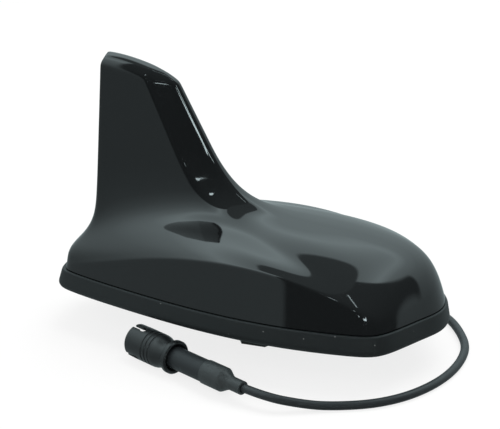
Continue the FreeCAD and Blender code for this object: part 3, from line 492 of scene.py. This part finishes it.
def fin_points(height):
    """The fin's section at a height: a flat panel up to the crease, then a raked facet to the edge."""
    above = height - FIN_LEVEL
    rear = -TAIL_REACH + FIN_REAR + above * slope(REAR_LEAN)
    crease = -TAIL_REACH + FIN_CREASE - above * slope(CREASE_RAKE)
    edge = -TAIL_REACH + FIN_EDGE - above * slope(EDGE_RAKE)
    half = FIN_THICK / 2 - above * slope(FIN_TAPER)
    x = np.where(CHORD <= 1, rear + CHORD * (crease - rear), crease + (CHORD - 1) * (edge - crease))
    return np.stack([x, THICK * half, np.broadcast_to(height, x.shape)], -1)


def cover_net():
    """Control rows of half of the cover, from the seam up to the ridge of the fin."""
    def mix(start, end, share):
        return start + (end - start) * np.reshape(share, (-1, 1))

    def raised(points, lift):
        return points + np.stack([0 * lift, 0 * lift, lift], -1)

    seam = seam_points(0.0, SEAM_HEIGHT)
    lift = LIFT * SIDE_LIFT
    crease = seam_points(-lift * slope(WALL_DRAFT), SEAM_HEIGHT + lift)
    root_rear = -TAIL_REACH + ROOT_REAR
    root_x = root_rear + ROOT_ALONG * (ROOT_FRONT - ROOT_REAR)
    root_z = ROOT_HIGH - (ROOT_HIGH - ROOT_LOW) * (1 - ROOT_ALONG) ** ROOT_BOW
    root = np.stack([root_x, ROOT_ACROSS * ROOT_WIDTH / 2, root_z], -1)
    low = raised(mix(crease, root, LOW_SHARE), CROWN_LOW * SHOULDER_CROWN)
    low[:, 0] -= TAIL_BULGE * (1 - ROOT_ALONG) ** TAIL_FADE
    high = raised(mix(crease, root, HIGH_SHARE), CROWN_HIGH * SHOULDER_CROWN)
    wall = np.linalg.norm(crease - seam, axis=1)
    turn = np.minimum(CREASE_BAND / np.maximum(wall, 2 * CREASE_BAND), 0.5)
    shoulder_run = np.linalg.norm(low - crease, axis=1)
    step = np.maximum(CREASE_BAND / np.maximum(shoulder_run, 2 * CREASE_BAND), NOSE_STEP * ROUNDNESS)
    foot = root_z + ROOT_FILLET * (1 + NOSE_FOOT * ROUNDNESS)
    top_rear = fin_points(np.full(len(ALONG), FIN_TOP))[0, 0] + REAR_CORNER * TOP_CORNER
    top_front = fin_points(np.full(len(ALONG), FIN_TOP - TOP_DROP))[-1, 0] - TOP_CORNER
    top_x = top_rear + TOP_SHARE * (top_front - top_rear)
    top_z = FIN_TOP - TOP_DROP * TOP_SHARE ** TOP_BOW
    shoulder = top_z - TOP_WEDGE
    panel = shoulder - foot
    edge = fin_points(shoulder)
    return np.stack([
        seam, mix(seam, crease, WALL_MIDDLE), mix(seam, crease, 1 - turn), crease,
        raised(mix(crease, low, step), NOSE_SWELL * ROUNDNESS), low, high, root,
        fin_points(foot), fin_points(foot + PANEL_LOW * panel), fin_points(foot + PANEL_HIGH * panel),
        fin_points(shoulder - CREASE_BAND), edge,
        np.stack([top_x, TOP_FLAT * edge[:, 1], top_z], -1), np.stack([top_x, 0 * top_x, top_z], -1)])


def basis(count, places, degree=3):
    """End-clamped, evenly spaced B-spline weights by the Cox and de Boor rule: a row per place."""
    marks = np.concatenate([np.zeros(degree), np.linspace(0, 1, count - degree + 1), np.ones(degree)])
    place = np.clip(places, 0, 1 - 1e-12)[:, None]
    weights = ((place >= marks[:-1]) & (place < marks[1:])).astype(float)
    for order in range(1, degree + 1):
        left_span = marks[order:-1] - marks[:-order - 1]
        right_span = marks[order + 1:] - marks[1:-order]
        rising = (place - marks[:-order - 1]) / np.where(left_span > 0, left_span, 1)
        falling = (marks[order + 1:] - place) / np.where(right_span > 0, right_span, 1)
        left = np.where(left_span > 0, rising, 0)
        right = np.where(right_span > 0, falling, 0)
        weights = left * weights[:, :-1] + right * weights[:, 1:]
    return weights


def surface(net, rows, columns):
    """Points of the B-spline surface: row weights times net times column weights."""
    return np.einsum("ui,vj,ijk->uvk", basis(net.shape[0], rows), basis(net.shape[1], columns), net)


def even(count):
    """Even places from 0 to 1."""
    return np.linspace(0, 1, count)


# Inner skin: how many walls in from the seam, and how many millimetres above it
INNER_SKIN = [(1.0, 0.0), (1.6, 8.0), (8.0, 14.0), (8.0, 14.0)]


class AERIAL_OT_cover(bpy.types.Operator):
    """Moulds the lacquered cover: the outer surface, a rim at the seam and a plain inner skin"""
    bl_idname = "aerial.cover"
    bl_label = "Cover"

    def execute(self, context):
        sizes = context.scene.aerial_sizes
        columns = even(sizes.cover_columns)
        net = cover_net()
        outer = surface(net, even(sizes.cover_rows), columns)
        wall = sizes.cover_wall / MM
        foot = surface(np.stack([seam_points(-wall, SEAM_HEIGHT)] * 4), even(2), columns)[:1]
        inner_net = np.stack([seam_points(-walls * wall, SEAM_HEIGHT + rise) for walls, rise in INNER_SKIN])
        inner_net[-1, :, 1] = 0
        inner = surface(inner_net, even(12), columns)
        half = np.concatenate([inner[::-1], foot, outer])
        rows = len(half)
        faces = grid_faces(rows, sizes.cover_columns)
        other = half * np.array([1, -1, 1])
        points = np.concatenate([half.reshape(-1, 3), other.reshape(-1, 3)]) * MM
        both = np.concatenate([faces, faces[:, ::-1] + rows * sizes.cover_columns])
        piece = mesh_piece("cover_shell", points, both, merge=2e-6, sharp=60)
        finish_piece(piece, black_lacquer(), "cover_black", "cover")
        return {"FINISHED"}


# Skirt section in millimetres: outwards and height
RIM_OUT = -0.3
LEDGE = 8.1
SKIRT_SECTION = [(RIM_OUT, LEDGE), (0.7, LEDGE), (1.0, 7.7), (1.9, 2.8), (1.9, 1.7), (1.4, 0.5), (0.4, 0.0),
                 (-7.3, 0.0), (-7.3, 1.2), (RIM_OUT, 1.2)]
SKIRT_ROUND = 0.45
SKIRT_COLUMNS = 220


class AERIAL_OT_skirt(bpy.types.Operator):
    """Moulds the soft skirt: its rounded section carried round the seam outline"""
    bl_idname = "aerial.skirt"
    bl_label = "Skirt"

    def execute(self, context):
        columns = even(SKIRT_COLUMNS)
        section = rounded(SKIRT_SECTION, SKIRT_ROUND, 5)
        weights = basis(len(ALONG), columns)
        rows = np.stack([weights @ seam_points(out, height) for out, height in section])
        ring = np.concatenate([rows, (rows * np.array([1, -1, 1]))[:, -2:0:-1]], axis=1)
        around = ring.shape[1]
        closed = np.concatenate([ring, ring[:1]])
        faces = grid_faces(len(closed), around, around=True)
        piece = mesh_piece("skirt_band", closed * MM, faces, merge=1e-6, sharp=50)
        finish_piece(piece, dusty_skirt(), "skirt_rubber", "base_skirt")
        return {"FINISHED"}


# Lead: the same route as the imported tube, in metres

PLUG_BACK = 0.0396
PLUG_SIDE = 0.0305
PLUG_LIFT = -0.0095
PLUG_TURN = math.radians(-25.4)
COLLAR_ROLL = 42
LEAD_START = (0.0075, 0.0, -0.0062)
LEAD_GROUND = -0.01435
LEAD_ROUTE = [
    (0.0160, 0.0, -0.0062),
    (0.0250, 0.0055, -0.0098),
    (0.0314, 0.0148, -0.0132),
    (0.0329, 0.0260, LEAD_GROUND),
    (0.0365, 0.0371, LEAD_GROUND),
    (0.0459, 0.0440, LEAD_GROUND),
    (0.0576, 0.0441, LEAD_GROUND),
    (0.0672, 0.0366, LEAD_GROUND),
    (0.0739, 0.0260, LEAD_GROUND),
    (0.0789, 0.0142, LEAD_GROUND),
    (0.0798, 0.0020, LEAD_GROUND),
    (0.0782, -0.0103, LEAD_GROUND),
    (0.0740, -0.0223, LEAD_GROUND),
    (0.0671, -0.0336, LEAD_GROUND),
    (0.0577, -0.0424, LEAD_GROUND),
    (0.0460, -0.0482, LEAD_GROUND),
    (0.0360, -0.0529, -0.0133),
]


def on_plug(points):
    """Points of the plug's own frame, metres along its axis, turned and moved to where the plug lies."""
    points = np.asarray(points, float)
    c, s = math.cos(PLUG_TURN), math.sin(PLUG_TURN)
    turned = np.stack([c * points[..., 0] - s * points[..., 1], s * points[..., 0] + c * points[..., 1],
                       points[..., 2]], -1)
    return turned + np.array([-PLUG_BACK, -PLUG_SIDE, PLUG_LIFT])


class AERIAL_OT_lead(bpy.types.Operator):
    """Lays the lead: one smooth curve from the grommet round the nose to the plug"""
    bl_idname = "aerial.lead"
    bl_label = "Lead"

    def execute(self, context):
        sizes = context.scene.aerial_sizes
        end = [tuple(on_plug((along, 0, 0))) for along in (0.066, 0.048)]
        route = [LEAD_START] + LEAD_ROUTE + end
        curve = bpy.data.curves.new("lead_line", "CURVE")
        curve.dimensions = "3D"
        curve.resolution_u = 16
        curve.bevel_depth = sizes.lead_radius
        curve.bevel_resolution = 8
        curve.use_fill_caps = True
        spline = curve.splines.new("NURBS")
        spline.points.add(len(route) - 1)
        spline.points.foreach_set("co", np.hstack([route, np.ones((len(route), 1))]).ravel())
        spline.order_u = 3
        spline.use_endpoint_u = True
        lead = bpy.data.objects.new("lead", curve)
        context.scene.collection.objects.link(lead)
        finish_piece(lead, extruded_jacket(), "lead_jacket", "aerial_lead")
        return {"FINISHED"}


def rolled(piece, degrees):
    """Turns a piece of the plug about the plug's own axis."""
    axis = mathutils.Vector((math.cos(PLUG_TURN), math.sin(PLUG_TURN), 0))
    centre = mathutils.Vector((-PLUG_BACK, -PLUG_SIDE, PLUG_LIFT))
    turn = mathutils.Matrix.Rotation(math.radians(degrees), 4, axis)
    piece.data.transform(mathutils.Matrix.Translation(centre) @ turn @ mathutils.Matrix.Translation(-centre))
    return piece


class AERIAL_OT_plug(bpy.types.Operator):
    """Finishes the plug: slotted collar, barrel, shrunk sleeve, shell, insulator and pin"""
    bl_idname = "aerial.plug"
    bl_label = "Plug"

    def execute(self, context):
        nylon = moulded_rubber("moulded_nylon", "nylon", 0.32, 0.25, 0.01, 0.35)
        barrel = moulded_rubber("spark_eroded_nylon", "barrel", 0.5, 0.4, 0.05)
        sleeve = moulded_rubber("shrunk_polyolefin", "sleeve", 0.42, 1.3, 0.22)
        finish_piece(rolled(dressed("plug_collar"), COLLAR_ROLL), nylon, "plug_plastic", "plug_collar")
        finish_piece(dressed("plug_barrel"), barrel, "barrel_plastic", "plug_barrel")
        finish_piece(dressed("heat_shrink", sharp=50), sleeve, "shrink_tube", "heat_shrink")
        coat_node("plug_shell", plated_metal("nickel_plated_brass", "nickel", 0.25))
        coat_node("crimp_ferrule", plated_metal("nickel_plated_ferrule", "nickel", 0.3))
        coat_node("plug_pin", plated_metal("gilt_brass", "gold", 0.2))
        coat_node("plug_insulator", turned_ptfe())
        return {"FINISHED"}


class AERIAL_OT_fixing(bpy.types.Operator):
    """Finishes the stud, its nut and washer, the grommet and the foam ring"""
    bl_idname = "aerial.fixing"
    bl_label = "Fixing"

    def execute(self, context):
        nut = plated_metal("black_passivated_steel", "nut", 0.32)
        finish_piece(dressed("mounting_stud"), threaded_metal(), "plated_steel", "mounting_stud")
        finish_piece(dressed("mounting_nut"), nut, "plated_steel", "mounting_nut")
        finish_piece(dressed("claw_washer"), plated_metal("bright_spring_steel", "steel", 0.22),
                     "spring_steel", "claw_washer")
        grommet = moulded_rubber("grommet_rubber", "rubber")
        finish_piece(dressed("stud_grommet"), grommet, "seal_rubber", "stud_grommet")
        finish_piece(dressed("stud_seal"), moulded_rubber("closed_cell_foam", "foam", 0.8, 0.5, 0.12),
                     "foam", "stud_seal")
        return {"FINISHED"}


class AERIAL_OT_base(bpy.types.Operator):
    """Finishes the cast plate, its screws and the cover seal"""
    bl_idname = "aerial.base"
    bl_label = "Base"

    def execute(self, context):
        finish_piece(dressed("base_plate"), cast_alloy(), "cast_metal", "base_plate")
        screw = plated_metal("zinc_plated_screw", "zinc", 0.3)
        coat_node("cover_screws", screw)
        coat_node("board_screws", screw)
        coat_node("cover_seal", moulded_rubber("seal_rubber", "rubber"))
        return {"FINISHED"}


class AERIAL_OT_electronics(bpy.types.Operator):
    """Finishes what is sealed in the housing: boards, can, element cap, clips, spring and inner lead"""
    bl_idname = "aerial.electronics"
    bl_label = "Electronics"

    def execute(self, context):
        laminate = circuit_laminate()
        tin = plated_metal("tinned_steel_sheet", "tin", 0.35)
        for node in ("circuit_board", "element_board"):
            coat_node(node, laminate)
        for node in ("shield_can", "element_cap", "element_clips"):
            coat_node(node, tin)
        coat_node("feed_spring", plated_metal("spring_steel_strip", "steel", 0.22))
        coat_node("lead_inner", extruded_jacket())
        coat_node("lead_ferrule", plated_metal("nickel_plated_clamp", "nickel", 0.3))
        return {"FINISHED"}


# Stage

CAMERA_AZIMUTH = math.radians(19)
CAMERA_ELEVATION = math.radians(22)
CAMERA_DISTANCE = 0.662
CAMERA_AIM = (0.00318, -0.02117, 0.044)
CAMERA_LENS = 129.6
FLOOR_HEIGHT = -0.016
FLOOR_REACH = 3.0
FLOOR_GLOW = 0.80


def towards(azimuth, elevation):
    """The unit direction at an azimuth from +X and an elevation, both in degrees."""
    a, e = math.radians(azimuth), math.radians(elevation)
    return (math.cos(a) * math.cos(e), math.sin(a) * math.cos(e), math.sin(e))


# What the gloss mirrors: a pale tent with a dark opening in front and a duller patch overhead
SLOT_MIDDLE = -48.25
SLOT_HALF = 58.75
SLOT_SOFT = 0.8
SLOT_LEVELS = (0.13, 0.30)
ROOF_ELEVATION = 75.0
ROOF_SOFT = 0.003
ROOF_LEVEL = 0.45
SKY_LEVEL = 0.62
GLOSS_TINT = (0.85, 1.03, 1.06, 1.0)
# The tent's brightness by the sine of the elevation
TENT_FOOT = -0.30
TENT_LEVELS = [(TENT_FOOT, 0.42), (0.0, 0.55), (0.30, 0.90), (0.58, 1.40), (0.77, 2.0), (0.86, 2.9),
               (0.93, 2.2), (1.0, 1.6)]
RAMP_TOP = 3.0
# Small lamps that only gloss mirrors, as bars: azimuth and elevation of both ends, half width, strength
LAMPS = [((-70.0, 3.0), (-62.0, 5.0), 0.8, 14.0), ((-62.0, 5.0), (-58.0, 13.0), 0.8, 14.0),
         ((-79.0, 2.6), (-77.4, 2.6), 0.5, 12.0), ((-83.0, 33.0), (-79.5, 36.0), 1.6, 12.0),
         ((-79.0, 12.5), (-77.4, 15.0), 0.8, 10.0), ((-39.0, 72.0), (-48.0, 51.0), 0.8, 9.0)]


def bar(tree, azimuth, height, start, end, half):
    """One within half a width of the line between two directions, along and off it in radians."""
    run = np.radians(np.subtract(end, start))
    reach = float(np.hypot(*run))
    east, north = (float(part) for part in run / reach)
    turn = calc(tree, "SUBTRACT", azimuth, math.radians(start[0]))
    climb = calc(tree, "SUBTRACT", height, math.radians(start[1]))
    along = calc(tree, "MULTIPLY_ADD", turn, east, calc(tree, "MULTIPLY", climb, north))
    off = calc(tree, "MULTIPLY_ADD", climb, east, calc(tree, "MULTIPLY", turn, -north))
    return calc(tree, "MULTIPLY", calc(tree, "COMPARE", off, 0.0, math.radians(half)),
                calc(tree, "COMPARE", along, reach / 2, reach / 2))


def world_light(context):
    """Camera rays see white, diffuse rays a pale sky, glossy rays the tent, its opening and its lamps."""
    world = bpy.data.worlds.new("tent")
    context.scene.world = world
    world.use_nodes = True
    tree = world.node_tree
    tree.nodes.clear()
    way = add(tree, "ShaderNodeTexCoord").outputs["Generated"]
    split = add(tree, "ShaderNodeSeparateXYZ", {"Vector": way}).outputs
    rise = split["Z"]
    ramp = add(tree, "ShaderNodeValToRGB", {"Fac": spread(tree, rise, 0, 1, TENT_FOOT, 1.0)})
    stops = ramp.color_ramp.elements
    rises, levels = zip(*TENT_LEVELS)
    places = [(sine - TENT_FOOT) / (1 - TENT_FOOT) for sine in rises]
    for place in places[1:-1]:
        stops.new(place)
    for stop, place, level in zip(stops, places, levels):
        stop.position = place
        stop.color = [level / RAMP_TOP] * 3 + [1]
    tent = calc(tree, "MULTIPLY", ramp.outputs["Color"], RAMP_TOP)
    azimuth = calc(tree, "ARCTAN2", split["Y"], split["X"])
    turn = calc(tree, "SUBTRACT", azimuth, math.radians(SLOT_MIDDLE))
    off = calc(tree, "ABSOLUTE", calc(tree, "WRAP", turn, math.pi, -math.pi))
    edges = (math.radians(SLOT_HALF - SLOT_SOFT), math.radians(SLOT_HALF + SLOT_SOFT))
    in_slot = spread(tree, off, 1, 0, *edges)
    dark = spread(tree, rise, *SLOT_LEVELS, 0.0, 0.95)
    with_slot = blend(tree, in_slot, tent, dark)
    roof_edge = math.sin(math.radians(ROOF_ELEVATION))
    overhead = spread(tree, rise, 0, 1, roof_edge - ROOF_SOFT, roof_edge + ROOF_SOFT)
    glossy = blend(tree, overhead, with_slot, ROOF_LEVEL)
    height = calc(tree, "ARCSINE", rise)
    for start, end, half, strength in LAMPS:
        lamp = bar(tree, azimuth, height, start, end, half)
        glossy = calc(tree, "MULTIPLY_ADD", lamp, strength, glossy)
    rays = add(tree, "ShaderNodeLightPath").outputs
    sky = blend(tree, rays["Is Glossy Ray"], SKY_LEVEL, glossy)
    seen = blend(tree, rays["Is Camera Ray"], sky, 1.0)
    tint = blend(tree, rays["Is Glossy Ray"], (1.0, 1.0, 1.0, 1.0), GLOSS_TINT, "RGBA")
    background = add(tree, "ShaderNodeBackground", {"Color": tint, "Strength": seen})
    output = add(tree, "ShaderNodeOutputWorld")
    tree.links.new(background.outputs["Background"], output.inputs["Surface"])


def floor_paint():
    """Matt white floor: the camera sees it white with a soft shadow, and gloss sees through it."""
    material, tree, shader = new_material("matt_white_floor")[:3]
    shader.inputs["Base Color"].default_value = colour_of("floor")
    shader.inputs["Roughness"].default_value = 0.9
    rays = add(tree, "ShaderNodeLightPath").outputs
    glow = add(tree, "ShaderNodeEmission", {"Color": (1.0, 1.0, 1.0, 1.0), "Strength": 1.0})
    dim = add(tree, "ShaderNodeMixShader", {"Fac": FLOOR_GLOW, 1: shader.outputs["BSDF"],
                                            2: glow.outputs["Emission"]})
    camera = add(tree, "ShaderNodeMixShader", {"Fac": rays["Is Camera Ray"], 1: shader.outputs["BSDF"],
                                               2: dim.outputs["Shader"]})
    clear = add(tree, "ShaderNodeBsdfTransparent")
    final = add(tree, "ShaderNodeMixShader", {"Fac": rays["Is Glossy Ray"], 1: camera.outputs["Shader"],
                                              2: clear.outputs["BSDF"]})
    output = next(n for n in tree.nodes if n.bl_idname == "ShaderNodeOutputMaterial")
    tree.links.new(final.outputs["Shader"], output.inputs["Surface"])
    return material


def soft_lamp(context, name, azimuth, elevation, distance, size, watts):
    """A square area lamp that lights matt surfaces and isn't mirrored by gloss."""
    light = bpy.data.lights.new(name, "AREA")
    light.shape = "SQUARE"
    light.size = size
    light.energy = watts
    lamp = bpy.data.objects.new(name, light)
    context.scene.collection.objects.link(lamp)
    way = np.array(towards(azimuth, elevation))
    lamp.location = way * distance
    lamp.rotation_euler = (math.radians(90 - elevation), 0, math.radians(azimuth + 90))
    lamp.visible_glossy = False


# Soft lamps: name, azimuth, elevation, distance and size in metres, watts
SOFT_LAMPS = [("overhead", 60, 68, 1.1, 0.9, 9.0), ("front_fill", -100, 35, 1.2, 0.8, 4.0)]


class AERIAL_OT_stage(bpy.types.Operator):
    """Sets the camera, the white floor, the tent and the lamps"""
    bl_idname = "aerial.stage"
    bl_label = "Stage"

    def execute(self, context):
        scene = context.scene
        data = bpy.data.cameras.new("camera")
        data.lens = CAMERA_LENS
        data.sensor_width = 36
        camera = bpy.data.objects.new("camera", data)
        scene.collection.objects.link(camera)
        ca, sa = math.cos(CAMERA_AZIMUTH), math.sin(CAMERA_AZIMUTH)
        ce, se = math.cos(CAMERA_ELEVATION), math.sin(CAMERA_ELEVATION)
        back = np.array([sa * ce, -ca * ce, se])
        camera.location = np.array(CAMERA_AIM) + CAMERA_DISTANCE * back
        camera.rotation_euler = (math.pi / 2 - CAMERA_ELEVATION, 0, CAMERA_AZIMUTH)
        scene.camera = camera
        scene.view_settings.view_transform = "Standard"
        corners = [(-1, -1), (1, -1), (1, 1), (-1, 1)]
        square = [(FLOOR_REACH * x, FLOOR_REACH * y, FLOOR_HEIGHT) for x, y in corners]
        mesh = bpy.data.meshes.new("floor")
        mesh.from_pydata(square, [], [(0, 1, 2, 3)])
        floor = bpy.data.objects.new("floor", mesh)
        scene.collection.objects.link(floor)
        mesh.materials.append(floor_paint())
        world_light(context)
        for lamp in SOFT_LAMPS:
            soft_lamp(context, *lamp)
        return {"FINISHED"}


class AERIAL_PT_panel(bpy.types.Panel):
    """Lists the steps of the dressing and its colours"""
    bl_idname = "AERIAL_PT_panel"
    bl_label = "Roof aerial"
    bl_space_type = "VIEW_3D"
    bl_region_type = "UI"
    bl_category = "Aerial"

    def draw(self, context):
        for step in STEPS:
            self.layout.operator(step.bl_idname)
        for group in (context.scene.aerial_sizes, context.scene.aerial_colours):
            for key in group.bl_rna.properties.keys():
                if key not in ("rna_type", "name"):
                    self.layout.prop(group, key)


STEPS = (AERIAL_OT_stage, AERIAL_OT_cover, AERIAL_OT_skirt, AERIAL_OT_plug, AERIAL_OT_lead, AERIAL_OT_fixing,
         AERIAL_OT_base, AERIAL_OT_electronics)
CLASSES = (AerialSizes, AerialColours) + STEPS + (AERIAL_PT_panel,)


def register():
    for item in CLASSES:
        bpy.utils.register_class(item)
    bpy.types.Scene.aerial_sizes = PointerProperty(type=AerialSizes)
    bpy.types.Scene.aerial_colours = PointerProperty(type=AerialColours)


def unregister():
    del bpy.types.Scene.aerial_colours
    del bpy.types.Scene.aerial_sizes
    for item in reversed(CLASSES):
        bpy.utils.unregister_class(item)


def main():
    """Registers the add-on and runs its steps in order."""
    register()
    for step in STEPS:
        group, name = step.bl_idname.split(".")
        getattr(getattr(bpy.ops, group), name)()


if __name__ == "__main__":
    main()
